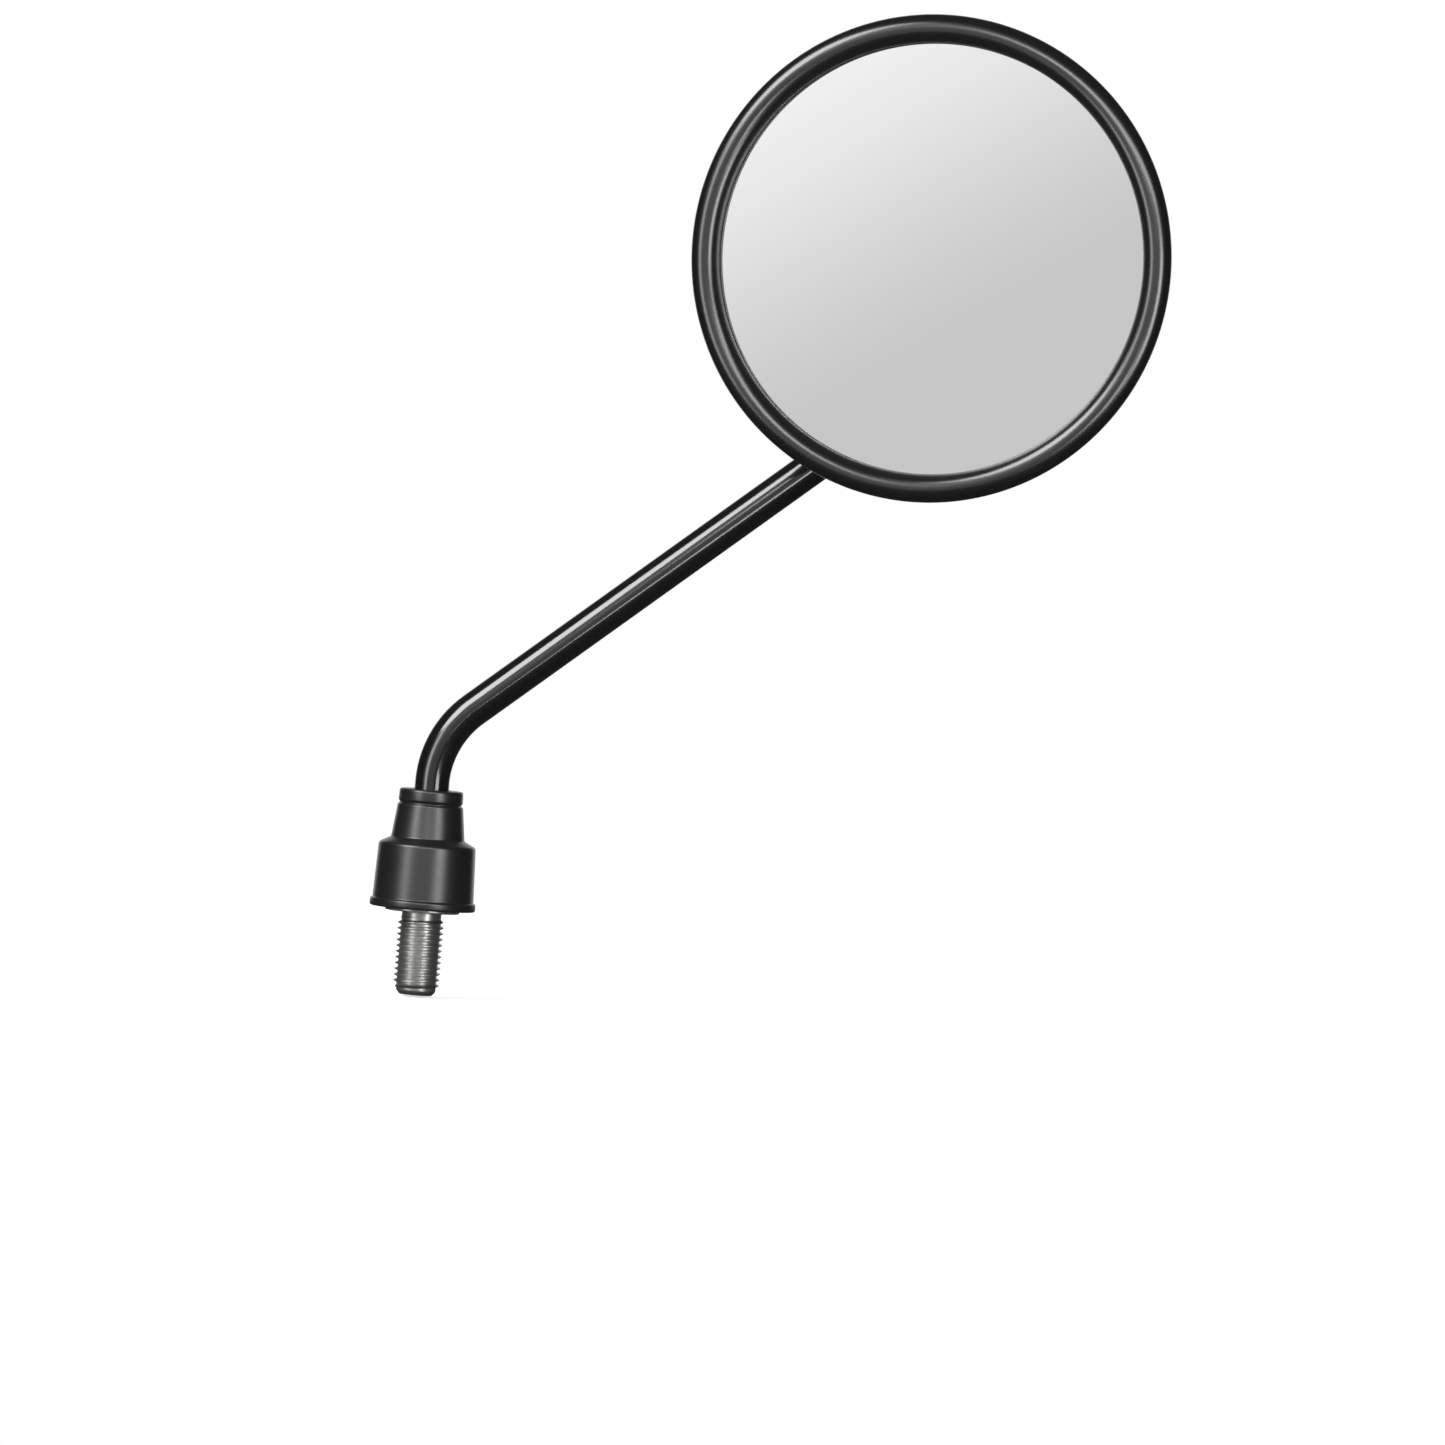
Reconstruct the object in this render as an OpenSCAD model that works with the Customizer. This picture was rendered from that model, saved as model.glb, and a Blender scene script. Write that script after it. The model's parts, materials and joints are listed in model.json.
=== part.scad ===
// Round handlebar mirror: a convex glass in a dished head, a ball joint behind it,
// a bent steel stem, and a friction swivel with a threaded stud under a rubber boot.
// Z is up along the stud. The head faces -Y, and X runs to the right as it is faced.
// The origin is on the stud's axis, in the plane where the mirror seats on its perch.

/* [Head] */
// Outside diameter of the rim
head_d = 103; // [92:1:120]
// Thickness of the rim's round bead
bead_d = 6; // [5:0.5:8]
// Depth of the rim's skirt behind the bead's middle
skirt_depth = 8; // [7.5:0.5:8.5]
// Angle at which the skirt draws in behind the bead
skirt_taper = 14; // [10:1:15]
// Thickness of the glass
glass_t = 2; // [1.5:0.1:2.4]
// Radius of the glass's convex face
glass_curve_r = 1200; // [800:50:2000]
// Thickness of the foam pad behind the glass, at its edge
foam_t = 1.5; // [1:0.1:2]
// Thickness of the backing plate
backing_t = 1.5; // [1:0.1:2]
// Wall of the rear shell
shell_wall = 2.2; // [1.8:0.1:3]
// Depth of the rear shell's dome
dome_depth = 13; // [11:0.5:15]
// Turn of the head about the vertical, away from square to the stem
head_turn = -12; // [-15:0.5:5]

/* [Ball joint] */
// Diameter of the ball
ball_d = 16; // [14:0.5:18]
// Diameter of the turned-down neck under the ball
neck_d = 6; // [5:0.2:6.4]
// How far the ball lies below the middle of the head
ball_drop = 6; // [0:1:10]
// How far the ball's centre lies behind the bead's middle
ball_depth = 19; // [19:0.5:22]
// Thickness of the nylon liner around the ball
liner_t = 1.1; // [0.8:0.1:1.4]
// Wall of the ball socket
socket_wall = 3.3; // [2.6:0.1:4]
// Half angle of the socket's mouth
mouth_angle = 44; // [40:1:46]
// Thickness of the clamp plate
plate_t = 1.5; // [1:0.1:2]
// Distance of the clamp screws from the ball's axis
screw_circle_r = 17; // [16:0.5:19]
// Diameter of the clamp screws
screw_d = 3.6; // [3:0.1:4]

/* [Stem] */
// Diameter of the rod
rod_d = 7.5; // [6.4:0.1:8]
// Height of the first bend's corner
bend_height = 37.9; // [37:0.1:50]
// Centre-line radius of the first bend
low_bend_r = 21.5; // [14:0.5:22]
// Angle of the long run above the horizontal
run_angle = 40.2; // [30:0.1:50]
// Length of the long run, from corner to corner
run_len = 136.3; // [110:0.1:160]
// Centre-line radius of the second bend
high_bend_r = 14; // [12:0.5:15]
// Length from the second corner to the ball's centre
neck_len = 27.5; // [27:0.5:36]
// Angle of the neck above the horizontal
neck_lift = 36; // [28:1:40]
// Turn of the neck about the vertical
neck_turn = 8; // [0:1:12]

/* [Base] */
// Diameter of the threaded stud
stud_d = 10; // [8:1:12]
// Length of the stud below its seat
stud_len = 18; // [12:1:30]
// Width across flats of the base's hexagon and of the lock nut
hex_af = 14; // [13.4:0.1:14.6]
// Height of the base's hexagon
base_hex_h = 5; // [4:0.5:5.5]
// Diameter of the base's upper thread, for the lock nut
boss_d = 11; // [10.6:0.1:11.4]
// Height of the base's upper thread
boss_h = 5; // [4.5:0.1:5.2]
// Thickness of the seat washer
seat_washer_t = 1.2; // [0.8:0.1:1.6]

/* [Boot] */
// Outside diameter of the boot's hem
boot_hem_d = 22.8; // [21.8:0.2:25]
// Wall of the boot
boot_wall = 1.35; // [1:0.05:1.6]
// Height of the boot
boot_h = 25.7; // [24.8:0.1:26]
// Gap between the boot's hem and the perch
boot_gap = 0.7; // [0.5:0.1:1.5]

/* [Hidden] */

$fn = 96;
run_gap = 0.05;     // radial clearance of a running fit
slip = 0.05;        // clearance between pieces that are pressed or snapped together
over = 1;           // how far a cut runs past what it cuts
arc_steps = 16;     // straight pieces in a round stretch of an outline

// Stem: corners and directions of its centre line
up_dir = [0, 0, 1];
run_dir = [cos(run_angle), 0, sin(run_angle)];
neck_dir = [-sin(neck_turn) * cos(neck_lift), -cos(neck_turn) * cos(neck_lift), sin(neck_lift)];
low_corner = [0, 0, bend_height];
high_corner = low_corner + run_len * run_dir;
ball_centre = high_corner + neck_len * neck_dir;
low_bend_angle = acos(up_dir * run_dir);
high_bend_angle = acos(run_dir * neck_dir);
low_tangent = low_bend_r * tan(low_bend_angle / 2);
high_tangent = high_bend_r * tan(high_bend_angle / 2);
draw_down = 0.04;   // how much thinner bending leaves the rod
land = 0.3;         // how far each straight stretch runs on into its bend

// Ball: the rod is turned down to the neck, and a spigot holds the ball
neck_from_ball = 13.5;
neck_taper = 1.5;
ball_spot = 0.88 * ball_d / 2;
spigot_d = 5;
spigot_past = 3;

// Ball joint, in the head's own frame: origin at the ball's centre, +Z out of the glass
ball_r = ball_d / 2;
liner_in_r = ball_r + run_gap;
liner_out_r = liner_in_r + liner_t;
socket_r = liner_out_r + run_gap;
socket_out_r = socket_r + socket_wall;
liner_reach = 72;
cup_bore_r = socket_r + 0.3;
cup_r = cup_bore_r - slip;
cup_low = 0.44 * ball_r;
cup_top = ball_r - 1;
spring_t = 0.6;
spring_h = 1.2;
plate_low = cup_top + spring_h;
plate_top = plate_low + plate_t;
spring_in_r = 0.68 * ball_r;
plate_hole_r = spring_in_r - 0.2;
lobe_r = 5;
plate_body_r = screw_circle_r - 3;
screw_angles = [90, 210, 330];
screw_washer_t = 0.8;
screw_washer_r = 3.6;
screw_head_r = 3.4;
screw_head_h = 1.9;
screw_depth = 7;
screw_boss_r = 3.6;

// Head section, measured from the bead's middle plane, outwards from the head's axis
rim_r = head_d / 2;
bead_r = bead_d / 2;
bead_mid_r = rim_r - bead_r;
lip_under = -0.7;
glass_edge_z = -1.2;
seal_t = 0.9;
glass_r = bead_mid_r - bead_r + 1.3;
seal_r = glass_r + seal_t;
shell_in_r = seal_r + slip;
shell_rim_t = 1.1;
shell_r = shell_in_r + shell_rim_t;
skirt_in_r = shell_r + slip;
tail_r = bead_mid_r + bead_r * cos(skirt_taper)
    - (skirt_depth - bead_r * sin(skirt_taper)) * tan(skirt_taper);
snap_h = 0.4;
snap_z = -5;
foam_top_z = glass_edge_z - glass_t;
backing_top_z = foam_top_z - foam_t;
ledge_z = backing_top_z - backing_t;
ledge_in_r = seal_r - 2;
foam_r = ledge_in_r - 0.4;
dome_z = -skirt_depth - 0.2;
glass_centre_z = glass_edge_z - sqrt(pow(glass_curve_r, 2) - pow(glass_r, 2));
rib_t = 1.6;
rib_count = 6;
rib_top = plate_low - 0.7 - ball_depth;

// Base stack, upwards from the perch
hex_low = seat_washer_t;
hex_top = hex_low + base_hex_h;
boss_top = hex_top + boss_h;
boss_r = boss_d / 2;
rod_r = rod_d / 2;
pilot_low = hex_low + 1.4;
pilot_bore_r = rod_r + run_gap;
collar_r = boss_r - 0.7;
friction_t = 0.8;
collar_low = boss_top + friction_t;
collar_h = 2.4;
collar_top = collar_low + collar_h;
disc_h = 1;
disc_t = 0.5;
disc_in_r = rod_r + 0.3;
nut_gap = 0.8;
nut_low = hex_top + nut_gap;
nut_hex_h = 6.4;
nut_hex_top = nut_low + nut_hex_h;
nut_flange_low = collar_top + disc_h;
nut_top = nut_flange_low + 2;
nut_neck_r = boss_r + 0.3;
nut_bore_r = collar_r + 0.2;
nut_hole_r = rod_r + 0.4;
relief_d = stud_d - 1.4;
stud_chamfer = 1;
hex_corner_r = hex_af / 2 / cos(30);

// Boot section, upwards from its hem
hem_r = boot_hem_d / 2;
hem_h = 1.7;
skirt_low_r = hem_r - 0.6;
skirt_top_r = hem_r - 1;
shoulder_low = 13.7;
shoulder_top = 15.1;
sleeve_low_r = 7.85;
sleeve_top_r = 6.95;
sleeve_top = boot_h - 3.4;
collar_ring_r = 6.85;
groove_depth = 0.3;
boot_grip_r = rod_r;
boot_grip_h = 2.9;

function unit(v) = v / norm(v);
function arc(centre, r, from, to, steps = arc_steps) =
    [for (i = [0:steps]) let (a = from + (to - from) * i / steps) centre + r * [cos(a), sin(a)]];

function reverse(v) = [for (i = [len(v) - 1:-1:0]) v[i]];
// A stretch of a sphere's outline about the glass's centre, from the head's axis out to radius r
function sag_line(curve_r, r) =
    [for (i = [0:arc_steps])
        let (x = r * i / arc_steps)
        [x, glass_centre_z + sqrt(curve_r * curve_r - x * x)]];

// Children stand with their +Z along direction d, from point p
module along(p, d) {
    translate(p) rotate([0, acos(d.z / norm(d)), atan2(d.y, d.x)]) children();
}

// A round bar bent at a corner, from direction a to direction b
module bend(corner, a, b, r, d) {
    side = unit(b - (a * b) * a);
    turn = acos(a * b);
    mid = corner - r * tan(turn / 2) * a + r * side;
    axis = cross(-side, a);
    multmatrix([[-side.x, a.x, axis.x, mid.x],
                [-side.y, a.y, axis.y, mid.y],
                [-side.z, a.z, axis.z, mid.z],
                [0, 0, 0, 1]])
        rotate_extrude(angle = turn) translate([r, 0]) circle(d = d);
}

// A hexagonal bar with its top or bottom corners chamfered as on a nut
module hexagon(af, h, low_chamfer = true, top_chamfer = true) {
    corner = af / 2 / cos(30);
    slope = tan(30);
    low = low_chamfer ? af / 2 - 0.2 : corner + over;
    top = top_chamfer ? af / 2 - 0.2 : corner + over;
    intersection() {
        cylinder(r = corner, h = h, $fn = 6);
        rotate_extrude() polygon([[0, 0], [low, 0], [corner + over, (corner + over - low) * slope],
                                  [corner + over, h - (corner + over - top) * slope], [top, h], [0, h]]);
    }
}

// Head frame: origin at the ball's centre, +Z out of the glass, +Y up
module in_head() {
    translate(ball_centre) rotate([0, 0, head_turn]) rotate([90, 0, 0]) children();
}

// Rim frame: the same, with the origin in the bead's middle plane on the head's axis
module in_rim() {
    in_head() translate([0, ball_drop, ball_depth]) children();
}

module stud_base() {
    color("silver") difference() {
        union() {
            translate([0, 0, -stud_len])
                cylinder(r1 = stud_d / 2 - stud_chamfer, r2 = stud_d / 2, h = stud_chamfer);
            translate([0, 0, stud_chamfer - stud_len]) cylinder(d = stud_d, h = stud_len - stud_chamfer);
            cylinder(d = relief_d, h = hex_low + over);
            translate([0, 0, hex_low]) hexagon(hex_af, base_hex_h);
            translate([0, 0, hex_top - over]) cylinder(d = boss_d, h = boss_h + over);
        }
        translate([0, 0, pilot_low]) cylinder(r = pilot_bore_r, h = boss_top - pilot_low + over);
    }
}

module seat_washer() {
    color("silver") difference() {
        cylinder(r = hex_corner_r, h = seat_washer_t);
        translate([0, 0, -over]) cylinder(d = stud_d + 0.5, h = seat_washer_t + 2 * over);
    }
}

module friction_washer() {
    color("ivory") translate([0, 0, boss_top]) difference() {
        cylinder(r = collar_r, h = friction_t);
        translate([0, 0, -over]) cylinder(r = rod_r + 0.15, h = friction_t + 2 * over);
    }
}

module swivel_collar() {
    color("silver") translate([0, 0, collar_low]) difference() {
        cylinder(r = collar_r, h = collar_h);
        translate([0, 0, -over]) cylinder(r = rod_r, h = collar_h + 2 * over);
    }
}

module disc_spring() {
    color("silver") translate([0, 0, collar_top])
        rotate_extrude() polygon([[disc_in_r, disc_h - disc_t], [collar_r, 0],
                                  [collar_r, disc_t], [disc_in_r, disc_h]]);
}

module lock_nut() {
    color("silver") difference() {
        union() {
            translate([0, 0, nut_low]) hexagon(hex_af, nut_hex_h);
            translate([0, 0, nut_hex_top - over]) cylinder(r = nut_neck_r, h = nut_top - nut_hex_top + over);
        }
        translate([0, 0, nut_low - over])
            cylinder(r = boss_r + run_gap, h = boss_top - nut_low + over + friction_t);
        translate([0, 0, boss_top]) cylinder(r = nut_bore_r, h = nut_flange_low - boss_top);
        translate([0, 0, nut_top - 3]) cylinder(r = nut_hole_r, h = 3 + over);
    }
}

module stem_rod() {
    foot = pilot_low + 0.3;
    low_end = bend_height - low_tangent + land;
    bend_d = rod_d - draw_down;
    color([0.03, 0.03, 0.03]) union() {
        translate([0, 0, foot]) cylinder(d = rod_d, h = low_end - foot);
        bend(low_corner, up_dir, run_dir, low_bend_r, bend_d);
        along(low_corner + (low_tangent - land) * run_dir, run_dir)
            cylinder(d = rod_d, h = run_len - low_tangent - high_tangent + 2 * land);
        bend(high_corner, run_dir, neck_dir, high_bend_r, bend_d);
        along(high_corner + (high_tangent - land) * neck_dir, neck_dir)
            cylinder(d = rod_d, h = neck_len - high_tangent - neck_from_ball + land);
        along(ball_centre, -neck_dir) {
            translate([0, 0, neck_from_ball - neck_taper])
                cylinder(d1 = neck_d, d2 = rod_d - draw_down, h = neck_taper + land);
            translate([0, 0, ball_spot])
                cylinder(d = neck_d, h = neck_from_ball - ball_spot - neck_taper + land);
            translate([0, 0, -spigot_past]) cylinder(d = spigot_d, h = ball_spot + spigot_past + land);
        }
    }
}

module ball() {
    color("silver") difference() {
        translate(ball_centre) sphere(r = ball_r);
        along(ball_centre, -neck_dir) {
            translate([0, 0, -spigot_past]) cylinder(d = spigot_d, h = ball_r + spigot_past + over);
            translate([0, 0, ball_spot]) cylinder(d = neck_d, h = ball_r);
        }
    }
}

module boot() {
    outside = [[skirt_low_r - 0.1, 0], [hem_r - 0.5, 0], [hem_r, 0.45], [hem_r, hem_h - 0.5],
               [hem_r - 0.25, hem_h - 0.15], [skirt_low_r, hem_h],
               [skirt_top_r, shoulder_low - 0.5], [skirt_top_r - 0.35, shoulder_low],
               [sleeve_low_r + 0.25, shoulder_top - 0.2], [sleeve_low_r, shoulder_top + 0.3],
               [sleeve_top_r, sleeve_top], [sleeve_top_r - groove_depth, sleeve_top + 0.15],
               [collar_ring_r - groove_depth, sleeve_top + 0.7], [collar_ring_r, sleeve_top + 1],
               [collar_ring_r, boot_h - 0.9], [collar_ring_r - 0.3, boot_h - 0.3],
               [collar_ring_r - 0.8, boot_h]];
    inside = [[boot_grip_r + 0.4, boot_h], [boot_grip_r, boot_h - 0.4], [boot_grip_r, boot_h - boot_grip_h],
              [sleeve_top_r - boot_wall, boot_h - boot_grip_h - 0.8],
              [sleeve_low_r - boot_wall, shoulder_top - 0.4],
              [skirt_top_r - boot_wall, shoulder_low - 0.9], [skirt_low_r - boot_wall, 0]];
    color([0.06, 0.06, 0.06]) translate([0, 0, boot_gap])
        rotate_extrude() polygon(concat(outside, inside));
}

// The cone, from the ball's centre, through which the neck leaves the socket
module mouth() {
    depth = 1.6 * socket_out_r;
    along(ball_centre, -neck_dir) cylinder(r1 = 0, r2 = depth * tan(mouth_angle), h = depth);
}

module ball_liner() {
    color("ivory") difference() {
        in_head() difference() {
            sphere(r = liner_out_r);
            sphere(r = liner_in_r);
            translate([0, 0, -liner_in_r * cos(liner_reach)])
                cylinder(r = 2 * liner_out_r, h = 2 * liner_out_r);
        }
        mouth();
    }
}

module pressure_cup() {
    color("ivory") in_head() difference() {
        translate([0, 0, cup_low]) cylinder(r = cup_r, h = cup_top - cup_low);
        sphere(r = liner_in_r);
    }
}

module joint_spring() {
    color("silver") in_head() translate([0, 0, cup_top])
        rotate_extrude() polygon([[cup_r - 0.3, 0], [cup_r - 0.3, spring_t],
                                  [spring_in_r, spring_h], [spring_in_r, spring_h - spring_t]]);
}

module at_screws() {
    for (a = screw_angles) rotate([0, 0, a]) translate([screw_circle_r, 0, 0]) rotate([0, 0, -a]) children();
}

module clamp_plate() {
    color("silver") in_head() difference() {
        translate([0, 0, plate_low]) {
            cylinder(r = plate_body_r, h = plate_t);
            at_screws() cylinder(r = lobe_r, h = plate_t);
        }
        translate([0, 0, plate_low - over]) cylinder(r = plate_hole_r, h = plate_t + 2 * over);
        at_screws() translate([0, 0, plate_low - over]) cylinder(d = screw_d + 0.4, h = plate_t + 2 * over);
    }
}

module screw_washers() {
    color("silver") in_head() at_screws() translate([0, 0, plate_top]) difference() {
        cylinder(r = screw_washer_r, h = screw_washer_t);
        translate([0, 0, -over]) cylinder(d = screw_d + 0.4, h = screw_washer_t + 2 * over);
        translate([0, -0.3, -over]) cube([2 * screw_washer_r, 0.6, screw_washer_t + 2 * over]);
    }
}

module clamp_screws() {
    head_low = plate_top + screw_washer_t;
    color("silver") in_head() at_screws() difference() {
        union() {
            translate([0, 0, plate_low - screw_depth])
                cylinder(d = screw_d, h = head_low - plate_low + screw_depth);
            translate([0, 0, head_low]) cylinder(r = screw_head_r, h = screw_head_h * 0.6);
            translate([0, 0, head_low + screw_head_h * 0.6])
                cylinder(r1 = screw_head_r, r2 = screw_head_r * 0.75, h = screw_head_h * 0.4);
        }
        for (a = [0, 90]) rotate([0, 0, a])
            translate([-1.8, -0.4, head_low + 0.7]) cube([3.6, 0.8, screw_head_h]);
    }
}

// The dome as a solid of revolution, a wall's thickness smaller all round by inset
module dome(inset) {
    a = shell_r - inset;
    b = dome_depth - inset;
    rotate_extrude() polygon(concat([[0, dome_z], [a, dome_z]],
        [for (i = [1:arc_steps]) let (t = 90 * i / arc_steps) [a * cos(t), dome_z - b * sin(t)]]));
}

module rear_shell() {
    wall_top = lip_under - 0.1;
    snap_r = shell_r + snap_h - slip;
    color([0.05, 0.05, 0.05]) difference() {
        union() {
            in_rim() difference() {
                union() {
                    rotate_extrude() polygon([
                        [0, wall_top], [shell_r, wall_top], [shell_r, snap_z + 2 * snap_h],
                        [snap_r, snap_z + snap_h / 2], [snap_r, snap_z - snap_h / 2],
                        [shell_r, snap_z - 2 * snap_h], [shell_r, dome_z], [0, dome_z]]);
                    dome(0);
                }
                translate([0, 0, ledge_z]) cylinder(r = shell_in_r, h = -ledge_z + over);
                translate([0, 0, dome_z - over]) cylinder(r = ledge_in_r, h = ledge_z - dome_z + 2 * over);
                dome(shell_wall);
            }
            in_head() {
                sphere(r = socket_out_r);
                cylinder(r = socket_out_r, h = cup_low + 2);
            }
            intersection() {
                in_rim() dome(shell_wall / 2);
                in_head() {
                    at_screws() translate([0, 0, -ball_depth])
                        cylinder(r = screw_boss_r, h = ball_depth + plate_low);
                    for (i = [0:rib_count - 1]) rotate([0, 0, 30 + 360 / rib_count * i])
                        translate([socket_out_r - over, -rib_t / 2, -ball_depth])
                            cube([rim_r, rib_t, ball_depth + ball_depth + rib_top]);
                }
            }
        }
        in_head() {
            sphere(r = socket_r);
            translate([0, 0, 0.5]) cylinder(r = cup_bore_r, h = ball_depth);
            at_screws() translate([0, 0, plate_low - screw_depth - 0.5])
                cylinder(d = screw_d, h = ball_depth);
        }
        mouth();
    }
}

module rim_ring() {
    tail_z = -skirt_depth;
    lip_angle = asin(-lip_under / bead_r);
    outline = concat(
        arc([bead_mid_r, 0], bead_r, 180 + lip_angle, -skirt_taper, 2 * arc_steps),
        [[tail_r, tail_z + 0.3], [tail_r - 0.3, tail_z],
         [skirt_in_r + 0.2, tail_z], [skirt_in_r, tail_z + 0.2], [skirt_in_r, snap_z - 2 * snap_h],
         [skirt_in_r + snap_h, snap_z - snap_h / 2], [skirt_in_r + snap_h, snap_z + snap_h / 2],
         [skirt_in_r, snap_z + 2 * snap_h], [skirt_in_r, lip_under]]);
    color([0.05, 0.05, 0.05]) in_rim() rotate_extrude() polygon(outline);
}

module glass_seal() {
    top = lip_under - slip;
    in_r = glass_r - 1.1;
    color([0.04, 0.04, 0.04]) in_rim() rotate_extrude() polygon([
        [in_r, top], [seal_r, top], [seal_r, backing_top_z], [in_r, backing_top_z],
        [in_r, foam_top_z - slip], [glass_r + slip, foam_top_z - slip],
        [glass_r + slip, glass_edge_z + 0.07], [in_r, glass_edge_z + 0.07]]);
}

module mirror_glass() {
    front = sag_line(glass_curve_r, glass_r);
    back = sag_line(glass_curve_r - glass_t, glass_r);
    color([0.8, 0.82, 0.84]) in_rim() rotate_extrude() polygon(concat(front, reverse(back)));
}

module foam_pad() {
    front = sag_line(glass_curve_r - glass_t, foam_r);
    back = [[foam_r, backing_top_z], [0, backing_top_z]];
    color([0.2, 0.2, 0.2]) in_rim() rotate_extrude() polygon(concat(front, back));
}

module backing_plate() {
    color([0.12, 0.12, 0.12]) in_rim() translate([0, 0, ledge_z]) cylinder(r = seal_r, h = backing_t);
}

stud_base();
seat_washer();
friction_washer();
disc_spring();
lock_nut();
stem_rod();
swivel_collar();
ball();
boot();
ball_liner();
rear_shell();
rim_ring();
glass_seal();
mirror_glass();
foam_pad();
backing_plate();
clamp_plate();
clamp_screws();
screw_washers();
joint_spring();
pressure_cup();
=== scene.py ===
"""A round handlebar mirror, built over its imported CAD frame.

The head is a convex glass in a beaded rim ring on a dished shell, the stem is one bent bar,
and a rubber boot covers the swivel that turns on the threaded stud.
Outlines are in millimetres, in the frame that their piece is turned in.
"""

import json
import math

import bmesh
import bpy
from mathutils import Matrix, Vector


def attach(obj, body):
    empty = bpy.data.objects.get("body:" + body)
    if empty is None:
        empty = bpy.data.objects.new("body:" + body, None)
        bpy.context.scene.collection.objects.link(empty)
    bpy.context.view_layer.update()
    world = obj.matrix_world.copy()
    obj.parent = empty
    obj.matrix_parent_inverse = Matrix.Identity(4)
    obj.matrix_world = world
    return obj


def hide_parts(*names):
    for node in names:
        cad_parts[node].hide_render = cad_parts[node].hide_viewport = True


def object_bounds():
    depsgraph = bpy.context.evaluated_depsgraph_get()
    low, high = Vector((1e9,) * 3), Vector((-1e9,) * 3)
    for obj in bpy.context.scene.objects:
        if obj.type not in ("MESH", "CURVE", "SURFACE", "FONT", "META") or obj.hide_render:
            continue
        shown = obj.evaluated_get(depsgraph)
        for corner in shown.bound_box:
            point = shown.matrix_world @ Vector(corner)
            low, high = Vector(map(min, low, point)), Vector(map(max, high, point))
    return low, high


MM = 0.001
TURN = 2 * math.pi

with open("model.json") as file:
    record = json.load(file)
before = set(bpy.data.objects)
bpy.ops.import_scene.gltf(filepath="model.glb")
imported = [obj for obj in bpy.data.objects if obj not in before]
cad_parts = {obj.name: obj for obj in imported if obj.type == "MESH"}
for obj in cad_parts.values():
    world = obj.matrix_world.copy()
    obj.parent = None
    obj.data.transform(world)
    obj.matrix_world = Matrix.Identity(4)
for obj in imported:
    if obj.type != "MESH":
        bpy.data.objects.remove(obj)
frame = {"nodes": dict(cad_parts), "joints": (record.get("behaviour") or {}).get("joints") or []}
cad_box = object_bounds()
nodes = frame["nodes"]
joints = {joint["name"]: joint for joint in frame["joints"]}

# ---------------------------------------------------------------- places

BALL_DROP = 6.0     # from the head's axis down to the ball's centre
BALL_DEPTH = 19.0   # from the bead's middle plane back to the ball's centre
ball = Vector(joints["head_spin"]["pos_m"]) / MM
face = Vector(joints["head_spin"]["axis"]).normalized()
side = Vector(joints["head_tilt"]["axis"]).normalized()

BASE = Matrix.Scale(MM, 4)
HEAD = BASE @ Matrix.Translation(ball) @ Matrix((side, face.cross(side), face)).transposed().to_4x4()
RIM = HEAD @ Matrix.Translation((0, BALL_DROP, BALL_DEPTH))

# ---------------------------------------------------------------- sizes

RIM_R = 51.5
BEAD_R = 3.0
BEAD_MID_R = RIM_R - BEAD_R
SKIRT_DEPTH = 8.0
SKIRT_TAPER = math.radians(14)
LIP_Z = -0.7
GLASS_R = 46.8
GLASS_T = 2.0
GLASS_EDGE_Z = -1.2
GLASS_CURVE_R = 1200.0
SHELL_R = 48.85
SHELL_WALL = 2.2
DOME_Z = -8.2
DOME_DEPTH = 13.0
POD_R = 12.5
SOCKET_R = 9.2
SOCKET_BORE_R = 9.5
SOCKET_TOP = 5.5
MOUTH_ANGLE = math.radians(44)
CLAMP_R = 17.0
CLAMP_Z = 8.2

ROD_R = 3.75
FOOT_Z = 2.9
LOW_CORNER_Z = 37.9
LOW_BEND_R = 21.5
RUN_ANGLE = math.radians(40.2)
RUN_LENGTH = 136.3
HIGH_BEND_R = 14.0
NECK_LENGTH = 27.5
NECK_R = 3.0
NECK_FROM_BALL = 13.5
NECK_TAPER = 1.5
BALL_SPOT = 7.0

STUD_R = 5.0
STUD_LENGTH = 18.0
STUD_PITCH = 1.25
BOSS_R = 5.5
BOSS_PITCH = 1.0
HEX_AF = 14.0
HEX_LOW = 1.2
HEX_TOP = 6.2
BOSS_TOP = 11.2
PILOT_R = 3.8
PILOT_LOW = 2.6
NUT_LOW = 7.0
NUT_HEX_TOP = 13.4
NUT_TOP = 17.4
NUT_NECK_R = 5.8
BOOT_Z = 0.7


# ---------------------------------------------------------------- modelling helpers

def arc(centre, radius, start, end, steps):
    """Points of a round stretch of an outline, from one angle in degrees to another."""
    angles = [math.radians(start + (end - start) * i / steps) for i in range(steps + 1)]
    return [(centre[0] + radius * math.cos(a), centre[1] + radius * math.sin(a)) for a in angles]


def rounded(corners, closed=True, steps=6):
    """An outline with its corners rounded off. Each corner is (r, z, reach of the rounding)."""
    points = []
    for i, (r, z, reach) in enumerate(corners):
        here = Vector((r, z))
        last = not closed and i in (0, len(corners) - 1)
        if not reach or last:
            points.append((r, z))
            continue
        before = Vector(corners[i - 1][:2]) - here
        after = Vector(corners[(i + 1) % len(corners)][:2]) - here
        start = here + before.normalized() * min(reach, 0.49 * before.length)
        end = here + after.normalized() * min(reach, 0.49 * after.length)
        for k in range(steps + 1):
            t = k / steps
            points.append(tuple(start * (1 - t) ** 2 + here * 2 * t * (1 - t) + end * t ** 2))
    return points


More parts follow.
